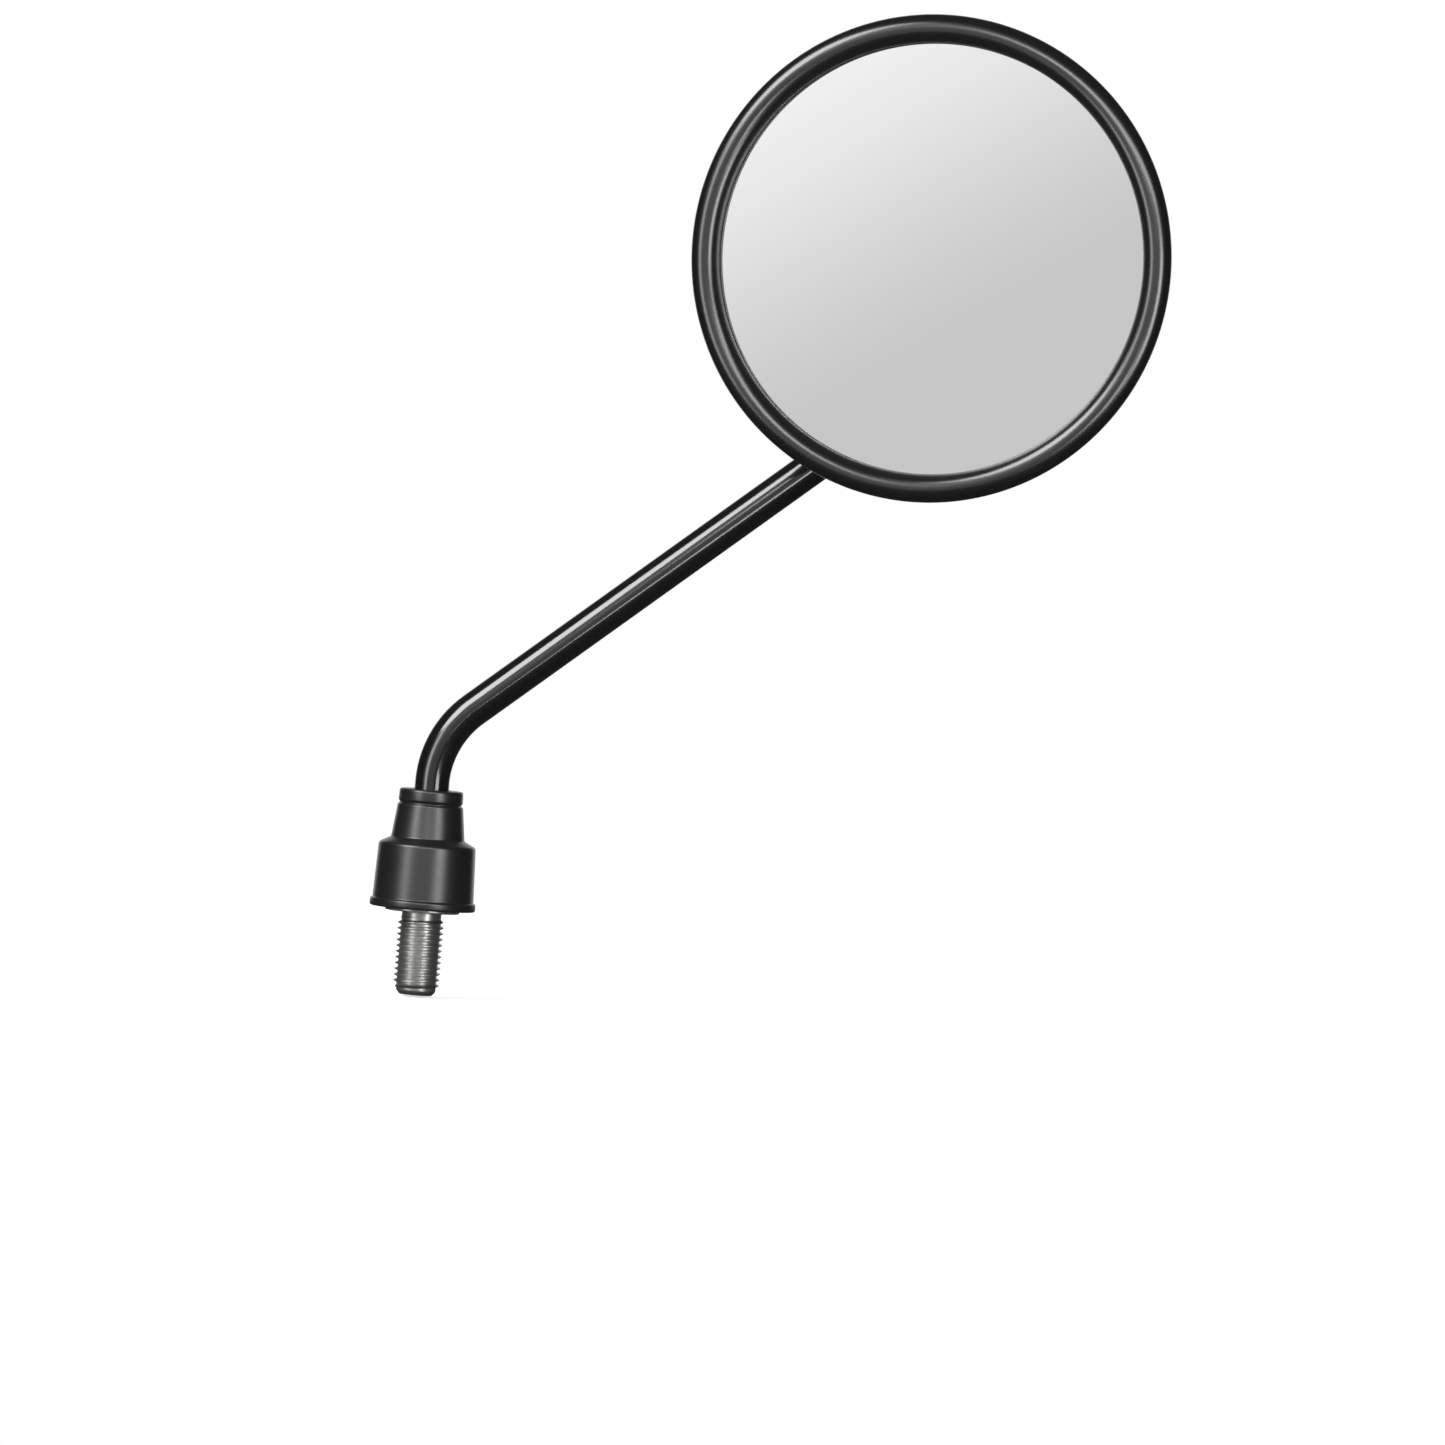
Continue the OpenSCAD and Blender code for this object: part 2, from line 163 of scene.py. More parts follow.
def lathe(outline, closed=True, steps=192):
    """A ring turned about Z from a closed outline of (r, z), or a solid from one that ends on the axis."""
    bm = bmesh.new()
    verts = [bm.verts.new((r, 0, z)) for r, z in outline]
    pairs = list(zip(verts, verts[1:])) + ([(verts[-1], verts[0])] if closed else [])
    edges = [bm.edges.new(pair) for pair in pairs]
    bmesh.ops.spin(bm, geom=verts + edges, axis=(0, 0, 1), cent=(0, 0, 0), dvec=(0, 0, 0),
                   angle=TURN, steps=steps, use_merge=True, use_duplicate=False)
    return tidy(bm)


def tidy(bm):
    """Merges what lies together and points every face outwards."""
    bmesh.ops.remove_doubles(bm, verts=bm.verts, dist=1e-4)
    bmesh.ops.dissolve_degenerate(bm, edges=bm.edges, dist=1e-5)
    bmesh.ops.recalc_face_normals(bm, faces=bm.faces)
    return bm


def close_ends(bm):
    bmesh.ops.holes_fill(bm, edges=[e for e in bm.edges if e.is_boundary], sides=0)
    return tidy(bm)


def to_object(name, bm):
    mesh = bpy.data.meshes.new(name)
    bm.to_mesh(mesh)
    bm.free()
    obj = bpy.data.objects.new(name, mesh)
    bpy.context.collection.objects.link(obj)
    return obj


def drop(obj):
    mesh = obj.data
    bpy.data.objects.remove(obj)
    bpy.data.meshes.remove(mesh)


def carve(bm, tool, operation="DIFFERENCE"):
    """One closed mesh cut by, or kept only inside, another. Both are used up."""
    work, cutter = to_object("work", bm), to_object("cutter", tool)
    cut = work.modifiers.new("cut", "BOOLEAN")
    cut.object = cutter
    cut.operation = operation
    cut.solver = "EXACT"
    made = work.evaluated_get(bpy.context.evaluated_depsgraph_get()).to_mesh()
    result = bmesh.new()
    result.from_mesh(made)
    drop(work)
    drop(cutter)
    return result


def join(*parts):
    """Several meshes as one. The first takes in the others."""
    first = parts[0]
    for part in parts[1:]:
        mesh = bpy.data.meshes.new("part")
        part.to_mesh(mesh)
        part.free()
        first.from_mesh(mesh)
        bpy.data.meshes.remove(mesh)
    return first


def piece(name, bm, place, body, slot, replaced, *materials, sharp=32):
    """A finished piece: put in its place, smooth shaded, finished and riding on its body."""
    bmesh.ops.transform(bm, matrix=place, verts=bm.verts)
    obj = to_object(name, bm)
    for material in materials:
        obj.data.materials.append(material)
    obj.data.shade_smooth()
    obj.data.set_sharp_from_angle(angle=math.radians(sharp))
    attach(obj, body)
    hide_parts(replaced)
    return obj


# ---------------------------------------------------------------- material helpers

def add(tree, kind, links=None, **values):
    """A node with its sockets and settings. links maps an input's name to the output that feeds it."""
    node = tree.nodes.new(kind)
    for key, value in values.items():
        if hasattr(node, key):
            setattr(node, key, value)
        else:
            node.inputs[key.replace("_", " ")].default_value = value
    for key, output in (links or {}).items():
        tree.links.new(output, node.inputs[key])
    return node


def new_group(name, inputs, outputs):
    """A node group with named float inputs (name: default) and outputs (name: socket type)."""
    group = bpy.data.node_groups.new(name, "ShaderNodeTree")
    for key, value in inputs.items():
        socket = group.interface.new_socket(key, in_out="INPUT", socket_type="NodeSocketFloat")
        socket.default_value = value
    for key, kind in outputs.items():
        group.interface.new_socket(key, in_out="OUTPUT", socket_type=kind)
    return group, group.nodes.new("NodeGroupInput"), group.nodes.new("NodeGroupOutput")


def object_noise(tree, scale, detail=3.0, roughness=0.55):
    """Noise on Object coordinates, as a value about one half."""
    where = add(tree, "ShaderNodeTexCoord").outputs["Object"]
    noise = add(tree, "ShaderNodeTexNoise", {"Vector": where}, Detail=detail, Roughness=roughness)
    if isinstance(scale, bpy.types.NodeSocket):
        tree.links.new(scale, noise.inputs["Scale"])
    else:
        noise.inputs["Scale"].default_value = scale
    return noise.outputs["Fac"]


def make_grain():
    """The fine skin of a moulded or painted surface: height for a bump, and the same as a roughness."""
    group, inside, outside = new_group(
        "surface grain",
        {"Grain Scale": 1500.0, "Blotch Scale": 60.0, "Roughness": 0.3, "Spread": 0.06},
        {"Height": "NodeSocketFloat", "Roughness": "NodeSocketFloat"})
    fine = object_noise(group, inside.outputs["Grain Scale"], 2.0)
    blotch = object_noise(group, inside.outputs["Blotch Scale"], 4.0)
    centred = add(group, "ShaderNodeMath", {0: blotch}, operation="SUBTRACT")
    centred.inputs[1].default_value = 0.5
    spread = add(group, "ShaderNodeMath", {0: centred.outputs[0], 1: inside.outputs["Spread"],
                                           2: inside.outputs["Roughness"]}, operation="MULTIPLY_ADD")
    group.links.new(fine, outside.inputs["Height"])
    group.links.new(spread.outputs[0], outside.inputs["Roughness"])
    return group


def make_dust():
    """A mask of the light dust that settles on faces that look up, broken by noise."""
    group, inside, outside = new_group("settled dust", {"Amount": 0.1}, {"Mask": "NodeSocketFloat"})
    normal = add(group, "ShaderNodeNewGeometry").outputs["Normal"]
    up = add(group, "ShaderNodeSeparateXYZ", {"Vector": normal}).outputs["Z"]
    facing = add(group, "ShaderNodeMapRange", {"Value": up}, From_Min=0.2, From_Max=1.0)
    broken = add(group, "ShaderNodeMath", {0: facing.outputs[0], 1: object_noise(group, 420.0, 6.0)},
                 operation="MULTIPLY")
    mask = add(group, "ShaderNodeMath", {0: broken.outputs[0], 1: inside.outputs["Amount"]},
               operation="MULTIPLY")
    group.links.new(mask.outputs[0], outside.inputs["Mask"])
    return group


GRAIN = make_grain()
DUST = make_dust()


def new_material(name, **values):
    """A material with its Principled BSDF, whose plain values are set by name."""
    material = bpy.data.materials.new(name)
    material.use_nodes = True
    shader = material.node_tree.nodes["Principled BSDF"]
    for key, value in values.items():
        shader.inputs[key.replace("_", " ")].default_value = value
    return material, material.node_tree, shader


def grained(tree, shader, grain, blotch, roughness, spread, bump, distance=0.00002):
    """Gives a surface its fine bump and its uneven roughness."""
    skin = add(tree, "ShaderNodeGroup", node_tree=GRAIN)
    for key, value in (("Grain Scale", grain), ("Blotch Scale", blotch),
                       ("Roughness", roughness), ("Spread", spread)):
        skin.inputs[key].default_value = value
    relief = add(tree, "ShaderNodeBump", {"Height": skin.outputs["Height"]},
                 Strength=bump, Distance=distance)
    tree.links.new(relief.outputs["Normal"], shader.inputs["Normal"])
    tree.links.new(skin.outputs["Roughness"], shader.inputs["Roughness"])
    return skin


def two_tone(tree, shader, factor, first, second):
    """Base colour that runs from one tone to another with a value."""
    mix = add(tree, "ShaderNodeMix", {0: factor}, data_type="RGBA")
    mix.inputs[6].default_value = (*first, 1)
    mix.inputs[7].default_value = (*second, 1)
    tree.links.new(mix.outputs[2], shader.inputs["Base Color"])


def dust(tree, shader, amount, under, over):
    mask = add(tree, "ShaderNodeGroup", node_tree=DUST)
    mask.inputs["Amount"].default_value = amount
    two_tone(tree, shader, mask.outputs["Mask"], under, over)


def stove_enamel():
    """Gloss black enamel on the stem, with a faint orange peel under a clear top."""
    material, tree, shader = new_material("stove enamel", IOR=1.5, Coat_Weight=0.6, Coat_Roughness=0.06)
    grained(tree, shader, 900, 35, 0.17, 0.06, 0.04)
    dust(tree, shader, 0.03, (0.0038, 0.0038, 0.004), (0.2, 0.19, 0.18))
    return material


def rim_plastic():
    """Satin black moulded plastic of the rim ring, calmer where the glass mirrors it."""
    material, tree, shader = new_material("rim plastic", IOR=1.5, Specular_IOR_Level=0.8)
    skin = grained(tree, shader, 2600, 40, 0.24, 0.06, 0.03)
    seen = add(tree, "ShaderNodeLightPath").outputs["Is Camera Ray"]
    calm = add(tree, "ShaderNodeMapRange", {"Value": seen}, To_Min=0.6, To_Max=0.0)
    gloss = add(tree, "ShaderNodeMath", {0: skin.outputs["Roughness"], 1: calm.outputs[0]}, operation="MAXIMUM")
    tree.links.new(gloss.outputs[0], shader.inputs["Roughness"])
    dust(tree, shader, 0.04, (0.0038, 0.0038, 0.004), (0.2, 0.19, 0.18))
    return material


def shell_plastic():
    """Gloss black moulded plastic of the rear shell."""
    material, tree, shader = new_material("shell plastic", IOR=1.5)
    grained(tree, shader, 2200, 24, 0.24, 0.08, 0.2)
    dust(tree, shader, 0.05, (0.007, 0.007, 0.0074), (0.2, 0.19, 0.18))
    return material


def boot_rubber():
    """Matt moulded rubber, a little uneven in tone, with a fine skin and some dust."""
    material, tree, shader = new_material("boot rubber", IOR=1.5, Specular_IOR_Level=0.75)
    grained(tree, shader, 1900, 120, 0.33, 0.1, 0.25, 0.00003)
    dust(tree, shader, 0.08, (0.0065, 0.0065, 0.0068), (0.16, 0.15, 0.14))
    return material


def seal_rubber():
    """Dull rubber in the narrow gap beside the glass."""
    material, tree, shader = new_material("seal rubber", IOR=1.5, Specular_IOR_Level=0.15)
    grained(tree, shader, 2400, 90, 0.8, 0.1, 0.02)
    two_tone(tree, shader, object_noise(tree, 300.0), (0.004, 0.004, 0.004), (0.012, 0.012, 0.012))
    return material


def silvered_glass():
    """The reflecting face: nearly perfect when looked at; to every other ray it is rougher and darker, a painted shade
    that dims its reflections in the rim and the light it throws back.
    """
    material, tree, shader = new_material("silvered glass", Metallic=1.0)
    seen = add(tree, "ShaderNodeLightPath").outputs["Is Camera Ray"]
    gloss = add(tree, "ShaderNodeMapRange", {"Value": seen}, To_Min=0.3, To_Max=0.012)
    tree.links.new(gloss.outputs[0], shader.inputs["Roughness"])
    tone = add(tree, "ShaderNodeMapRange", {"Value": object_noise(tree, 14.0, 1.0)}, To_Min=0.925, To_Max=0.94)
    # painted shade: rays other than the camera's see the silvering at 0.35 instead of its own tone
    level = add(tree, "ShaderNodeMix", {"Factor": seen, "B": tone.outputs[0]}, A=0.35)
    two_tone(tree, shader, level.outputs[0], (0, 0, 0), (1, 1, 1))
    return material


def ground_edge():
    """The glass's ground edge, frosted and a little green."""
    material, tree, shader = new_material("ground edge", IOR=1.5)
    grained(tree, shader, 5000, 400, 0.55, 0.1, 0.4)
    two_tone(tree, shader, object_noise(tree, 900.0), (0.16, 0.2, 0.18), (0.28, 0.33, 0.3))
    return material


def back_paint():
    """The grey paint over the silver on the glass's back."""
    material, tree, shader = new_material("back paint")
    grained(tree, shader, 1600, 60, 0.6, 0.1, 0.3)
    two_tone(tree, shader, object_noise(tree, 120.0), (0.13, 0.13, 0.14), (0.18, 0.18, 0.19))
    return material


def metal(name, dark, light, roughness, spread, streak):
    """Plated or oiled steel: two close tones, uneven gloss and a fine bumped grain."""
    material, tree, shader = new_material(name, Metallic=1.0)
    grained(tree, shader, 1300, 180, roughness, spread, streak)
    two_tone(tree, shader, object_noise(tree, 260.0, 5.0), dark, light)
    return material


def plain_moulding(name, dark, light, roughness):
    """A hidden moulded piece, as it comes from the tool."""
    material, tree, shader = new_material(name, IOR=1.5)
    grained(tree, shader, 1400, 90, roughness, 0.1, 0.3)
    two_tone(tree, shader, object_noise(tree, 180.0), dark, light)
    return material


def foam_skin():
    """Closed-cell foam: small pits all over, with painted shade that darkens each pit towards its bottom."""
    material, tree, shader = new_material("foam skin")
    where = add(tree, "ShaderNodeTexCoord").outputs["Object"]
    cells = add(tree, "ShaderNodeTexVoronoi", {"Vector": where}, Scale=1400.0)
    relief = add(tree, "ShaderNodeBump", {"Height": cells.outputs["Distance"]}, Strength=0.6, Distance=0.0001)
    tree.links.new(relief.outputs["Normal"], shader.inputs["Normal"])
    # painted shade: the colour follows the pits' depth, darkest at their bottoms
    two_tone(tree, shader, cells.outputs["Distance"], (0.02, 0.02, 0.022), (0.07, 0.07, 0.075))
    shader.inputs["Roughness"].default_value = 0.9
    return material


ENAMEL = stove_enamel()
RIM_BLACK = rim_plastic()
SHELL_BLACK = shell_plastic()
BOOT_BLACK = boot_rubber()
SEAL_BLACK = seal_rubber()
SILVERING = silvered_glass()
GROUND_EDGE = ground_edge()
BACK_PAINT = back_paint()
ZINC = metal("zinc plate", (0.48, 0.49, 0.5), (0.62, 0.61, 0.56), 0.33, 0.18, 0.25)
SPRING_STEEL = metal("spring steel", (0.2, 0.2, 0.21), (0.34, 0.33, 0.32), 0.38, 0.2, 0.2)
POLISHED_STEEL = metal("polished steel", (0.7, 0.71, 0.72), (0.78, 0.78, 0.79), 0.1, 0.08, 0.05)
NYLON = plain_moulding("nylon", (0.62, 0.59, 0.5), (0.74, 0.71, 0.62), 0.42)
GREY_PLASTIC = plain_moulding("grey plastic", (0.05, 0.05, 0.052), (0.08, 0.08, 0.083), 0.5)
FOAM = foam_skin()


# ---------------------------------------------------------------- the head

def sag(r, curve_r=GLASS_CURVE_R):
    """Height of a sphere about the glass's centre, at radius r from the head's axis."""
    centre = GLASS_EDGE_Z - math.sqrt(GLASS_CURVE_R ** 2 - GLASS_R ** 2)
    return centre + math.sqrt(curve_r ** 2 - r * r)


def make_glass():
    """The convex glass, with a ground chamfer round its front and a painted back."""
    chamfer = 0.35
    rings = 24
    radii = [(GLASS_R - chamfer) * i / rings for i in range(rings + 1)]
    front = [(r, sag(r)) for r in radii]
    edge = [(GLASS_R, sag(GLASS_R) - chamfer), (GLASS_R, sag(GLASS_R) - GLASS_T)]
    back = [(r, sag(r, GLASS_CURVE_R - GLASS_T)) for r in reversed(radii)]
    bm = lathe(front + edge + back, closed=False, steps=256)
    for f in bm.faces:
        middle = f.calc_center_median()
        if math.hypot(middle.x, middle.y) > GLASS_R - chamfer:
            f.material_index = 1
        elif f.normal.z < 0:
            f.material_index = 2
    piece("glass", bm, RIM, "head", "mirror", "mirror_glass", SILVERING, GROUND_EDGE, BACK_PAINT)


def make_seal():
    """The thin rubber channel that holds the glass's edge."""
    top = LIP_Z - 0.02
    low = GLASS_EDGE_Z - GLASS_T - 1.5
    in_r, out_r = GLASS_R - 1.17, GLASS_R + 0.9
    bm = lathe(rounded([
        (in_r, top, 0.08), (out_r, top, 0.2), (out_r, low, 0.2), (in_r, low, 0.2),
        (in_r, GLASS_EDGE_Z - GLASS_T - 0.05, 0.1), (GLASS_R + 0.05, GLASS_EDGE_Z - GLASS_T - 0.05, 0),
        (GLASS_R + 0.05, GLASS_EDGE_Z + 0.07, 0), (in_r, GLASS_EDGE_Z + 0.07, 0.1)], steps=4))
    piece("seal", bm, RIM, "head", "black_rubber", "glass_seal", SEAL_BLACK)


def make_rim():
    """The beaded ring that snaps over the shell's edge."""
    lip = 180 - math.degrees(math.asin(LIP_Z / BEAD_R))
    inner = SHELL_R + 0.05
    tail = -SKIRT_DEPTH
    snap = 0.4
    bead = arc((BEAD_MID_R, 0), BEAD_R, lip, -math.degrees(SKIRT_TAPER), 46)
    tail_r = BEAD_MID_R + BEAD_R * math.cos(SKIRT_TAPER) \
        - (SKIRT_DEPTH - BEAD_R * math.sin(SKIRT_TAPER)) * math.tan(SKIRT_TAPER)
    skirt = rounded([
        bead.pop() + (0,), (tail_r, tail, 0.35), (inner, tail, 0.2), (inner, -5.8, 0.1), (inner + snap, -5.2, 0.1),
        (inner + snap, -4.8, 0.1), (inner, -4.2, 0.1), (inner, LIP_Z, 0.1)], closed=False)
    bm = lathe(bead + skirt, steps=256)
    piece("rim", bm, RIM, "head", "black_plastic", "rim_ring", RIM_BLACK)


def stem_corners():
    """The stem's directions and corners, from its base up to the ball."""
    run = Vector((math.cos(RUN_ANGLE), 0, math.sin(RUN_ANGLE)))
    low = Vector((0, 0, LOW_CORNER_Z))
    high = low + run * RUN_LENGTH
    neck = (ball - high).normalized()
    return low, high, run, neck


def dome_z(r):
    return DOME_Z - DOME_DEPTH * math.sqrt(max(0.0, 1 - (r / SHELL_R) ** 2))


POD_RINGS = 22
FILLET_RINGS = 8
DOME_RINGS = 34
WALL_RINGS = 4


def shell_point(ring, angle):
    """A point of the shell's outside: the pod's sphere, a fillet, the dome, and the wall inside the rim."""
    outwards = Vector((math.cos(angle), math.sin(angle), 0))
    pod = Vector((0, -BALL_DROP, -BALL_DEPTH))
    fillet_start = math.radians(66)
    fillet_end_r = 15.5

    def on_pod(polar):
        return pod + outwards * POD_R * math.sin(polar) - Vector((0, 0, POD_R * math.cos(polar)))

    def on_dome(radius, centre_y):
        point = Vector((0, centre_y, 0)) + outwards * radius
        point.z = dome_z(math.hypot(point.x, point.y))
        return point

    if ring <= POD_RINGS:
        return on_pod(fillet_start * ring / POD_RINGS)
    ring -= POD_RINGS
    if ring <= FILLET_RINGS:
        t = ring / FILLET_RINGS
        corner = on_dome(POD_R - 0.2, -BALL_DROP)
        return on_pod(fillet_start) * (1 - t) ** 2 + corner * 2 * t * (1 - t) + \
            on_dome(fillet_end_r, -BALL_DROP) * t ** 2
    ring -= FILLET_RINGS
    if ring <= DOME_RINGS:
        s = ring / DOME_RINGS
        start = math.acos(fillet_end_r / SHELL_R)
        return on_dome(SHELL_R * math.cos(start * (1 - s)), -BALL_DROP * (1 - s) ** 2)
    rise = (ring - DOME_RINGS) / WALL_RINGS * (LIP_Z - 0.1 - DOME_Z)
    return outwards * SHELL_R + Vector((0, 0, DOME_Z + rise))


def mouth_cutter(place):
    """The cone through which the stem's neck leaves the socket, with a flare that breaks its edge."""
    tip, flare = POD_R - 0.35, 26.0
    out = (tip * math.sin(MOUTH_ANGLE), tip * math.cos(MOUTH_ANGLE))
    cone = lathe([(0, 0), out, (out[0] + flare, out[1] + 0.35 * flare), (0, out[1] + 0.35 * flare)],
                 closed=False, steps=96)
    neck = stem_corners()[3]
    away = (place.to_3x3().inverted() @ -neck).normalized()
    middle = place.inverted() @ (ball * MM)
    turn = away.to_track_quat("Z", "Y").to_matrix().to_4x4()
    bmesh.ops.transform(cone, matrix=Matrix.Translation(middle) @ turn, verts=cone.verts)
    return cone


def make_shell():
    """The dished rear shell: its skin, the ball's socket inside the pod, and the clamp's bosses."""
    rings = POD_RINGS + FILLET_RINGS + DOME_RINGS + WALL_RINGS
    skin = lathe([(k, 0) for k in range(rings + 1)], closed=False, steps=224)
    for v in skin.verts:
        ring = round(math.hypot(v.co.x, v.co.y))
        v.co = shell_point(ring, math.atan2(v.co.y, v.co.x))
    bmesh.ops.recalc_face_normals(skin, faces=skin.faces)
    if sum(f.normal.z * f.calc_area() for f in skin.faces) > 0:
        bmesh.ops.reverse_faces(skin, faces=skin.faces)
    bmesh.ops.solidify(skin, geom=skin.faces, thickness=SHELL_WALL)
    skin = carve(tidy(skin), mouth_cutter(RIM))
    bmesh.ops.transform(skin, matrix=Matrix.Translation((0, BALL_DROP, BALL_DEPTH)), verts=skin.verts)

    outer = POD_R - 0.3
    socket = lathe(
        arc((0, 0), SOCKET_R, -90, 0, 24) + [(SOCKET_BORE_R, 0.5), (SOCKET_BORE_R, SOCKET_TOP),
                                             (outer, SOCKET_TOP)] + arc((0, 0), outer, 0, -90, 24),
        closed=False, steps=96)
    socket = carve(socket, mouth_cutter(HEAD))
    parts = [skin, socket]
    for angle in (90, 210, 330):
        boss = lathe(rounded([(1.8, -0.8, 0), (3.6, -0.8, 0), (3.6, CLAMP_Z, 0.3), (1.8, CLAMP_Z, 0.2)]),
                     steps=32)
        place = Matrix.Rotation(math.radians(angle), 4, "Z") @ Matrix.Translation((CLAMP_R, 0, 0))
        bmesh.ops.transform(boss, matrix=place, verts=boss.verts)
        parts.append(boss)
    piece("shell", join(*parts), HEAD, "head", "black_plastic", "rear_shell", SHELL_BLACK, sharp=28)


# ---------------------------------------------------------------- the stem

def open_end(geometry):
    return [g for g in geometry if isinstance(g, bmesh.types.BMEdge)]


def straight(bm, end, way, steps=1):
    """Draws a bar's open end along a straight."""
    for _ in range(steps):
        drawn = bmesh.ops.extrude_edge_only(bm, edges=end)["geom"]
        bmesh.ops.translate(bm, vec=way / steps, verts=[g for g in drawn if isinstance(g, bmesh.types.BMVert)])
        end = open_end(drawn)
        end = [e for e in end if all(v in drawn for v in e.verts)]
    return end


def bent(bm, end, corner, before, after, radius, steps=36):
    """Carries a bar's open end round a bend, between two directions."""
    turn = before.angle(after)
    inwards = (after - before * before.dot(after)).normalized()
    centre = corner - before * radius * math.tan(turn / 2) + inwards * radius
    verts = list({v for e in end for v in e.verts})
    turned = bmesh.ops.spin(bm, geom=verts + end, cent=centre, axis=before.cross(inwards), dvec=(0, 0, 0),
                            angle=turn, steps=steps, use_duplicate=False)
    return open_end(turned["geom_last"])


def shrink(end, centre, factor):
    for v in {v for e in end for v in e.verts}:
        v.co = centre + (v.co - centre) * factor


def make_stem():
    """One bar, bent twice and turned down where it meets the ball."""
    low, high, run, neck = stem_corners()
    up = Vector((0, 0, 1))
    low_tangent = LOW_BEND_R * math.tan(up.angle(run) / 2)
    high_tangent = HIGH_BEND_R * math.tan(run.angle(neck) / 2)
    bm = bmesh.new()
    bmesh.ops.create_circle(bm, segments=64, radius=ROD_R - 0.5, matrix=Matrix.Translation((0, 0, FOOT_Z)))
    end = straight(bm, list(bm.edges), up * 0.5)
    shrink(end, Vector((0, 0, FOOT_Z + 0.5)), ROD_R / (ROD_R - 0.5))
    end = straight(bm, end, up * (LOW_CORNER_Z - low_tangent - FOOT_Z - 0.5))
    end = bent(bm, end, low, up, run, LOW_BEND_R)
    end = straight(bm, end, run * (RUN_LENGTH - low_tangent - high_tangent), steps=8)
    end = bent(bm, end, high, run, neck, HIGH_BEND_R)
    end = straight(bm, end, neck * (NECK_LENGTH - high_tangent - NECK_FROM_BALL))
    end = straight(bm, end, neck * NECK_TAPER)
    shrink(end, ball - neck * (NECK_FROM_BALL - NECK_TAPER), NECK_R / ROD_R)
    straight(bm, end, neck * (NECK_FROM_BALL - NECK_TAPER - BALL_SPOT + 0.6))
    piece("stem_bar", close_ends(bm), BASE, "stem", "black_paint", "stem_rod", ENAMEL, sharp=25)


# ---------------------------------------------------------------- the boot

def make_boot():
    """The rubber boot, a turned moulding with a faint parting line down each side."""
    bm = lathe(rounded([
        (9.5, 0, 0.3), (11.4, 0, 0.5), (11.4, 1.7, 0.5), (10.84, 1.85, 0.25), (10.4, 13.8, 0.6),
        (7.85, 15.1, 0.3), (6.98, 22.3, 0.3), (6.6, 22.5, 0.25), (6.6, 22.85, 0.25), (6.88, 23.15, 0.3),
        (6.88, 25.7, 0.7), (4.3, 25.7, 0.5), (ROD_R + 0.03, 25.0, 0.3), (ROD_R + 0.03, 22.8, 0.3),
        (5.5, 21.8, 0.8), (6.4, 14.9, 0.9), (9.0, 12.9, 1.0), (9.35, 3.0, 0)]), steps=240)
    seam, hem_top = 0.07, 1.9
    for v in bm.verts:
        radius = math.hypot(v.co.x, v.co.y)
        outside = radius > 6.6 and v.co.z > hem_top and v.co.z < 24.8
        if outside and abs(math.sin(math.atan2(v.co.y, v.co.x))) < 0.005:
            v.co += Vector((v.co.x, v.co.y, 0)).normalized() * seam
    bmesh.ops.translate(bm, vec=(0, 0, BOOT_Z), verts=bm.verts)
    piece("rubber_boot", bm, BASE, "stem", "black_rubber", "boot", BOOT_BLACK, sharp=40)


# ---------------------------------------------------------------- the base

def thread(crest, core, pitch, low, high, steps=40):
    """A screw thread's ridge, carried round and up its core, fading in and out at its ends."""
    bm = bmesh.new()
    half = 0.44 * pitch
    section = [(core - 0.15, -half), (crest, -0.07 * pitch), (crest, 0.07 * pitch), (core - 0.15, half)]
    verts = [bm.verts.new((r, 0, low + half + z)) for r, z in section]
    edges = [bm.edges.new((verts[i - 1], verts[i])) for i in range(4)]
    turns = (high - low - 2 * half) / pitch
    bmesh.ops.spin(bm, geom=verts + edges, axis=(0, 0, 1), cent=(0, 0, 0), dvec=(0, 0, pitch / steps),
                   angle=TURN * int(turns * steps) / steps, steps=int(turns * steps), use_duplicate=False)
    for v in bm.verts:
        radius = math.hypot(v.co.x, v.co.y)
        if radius > core:
            ends = min(1.0, (v.co.z - low - half) / pitch, (high - half - v.co.z) / pitch)
            goal = core - 0.1 + (radius - core + 0.1) * max(0.0, ends)
            v.co.x *= goal / radius
            v.co.y *= goal / radius
    return close_ends(bm)


def hexagon(low, high):
    """A hexagonal stretch of bar, its corners chamfered at both ends as on a nut."""
    corner = HEX_AF / 2 / math.cos(math.radians(30))
    bm = bmesh.new()
    bmesh.ops.create_circle(bm, cap_ends=True, segments=6, radius=corner, matrix=Matrix.Translation((0, 0, low)))
    top = bmesh.ops.extrude_face_region(bm, geom=list(bm.faces))["geom"]
    bmesh.ops.translate(bm, vec=(0, 0, high - low), verts=[g for g in top if isinstance(g, bmesh.types.BMVert)])
    tidy(bm)
    upright = [e for e in bm.edges if abs(e.verts[0].co.z - e.verts[1].co.z) > 1]
    bmesh.ops.bevel(bm, geom=upright, offset=0.25, segments=3, profile=0.5, affect="EDGES", material=-1)
    flat_r, slope = HEX_AF / 2 - 0.25, math.tan(math.radians(30))
    reach = corner + 1
    drop_z = (reach - flat_r) * slope
    turned = lathe([(0, low), (flat_r, low), (reach, low + drop_z), (reach, high - drop_z), (flat_r, high), (0, high)],
                   closed=False, steps=96)
    return carve(bm, turned, "INTERSECT")


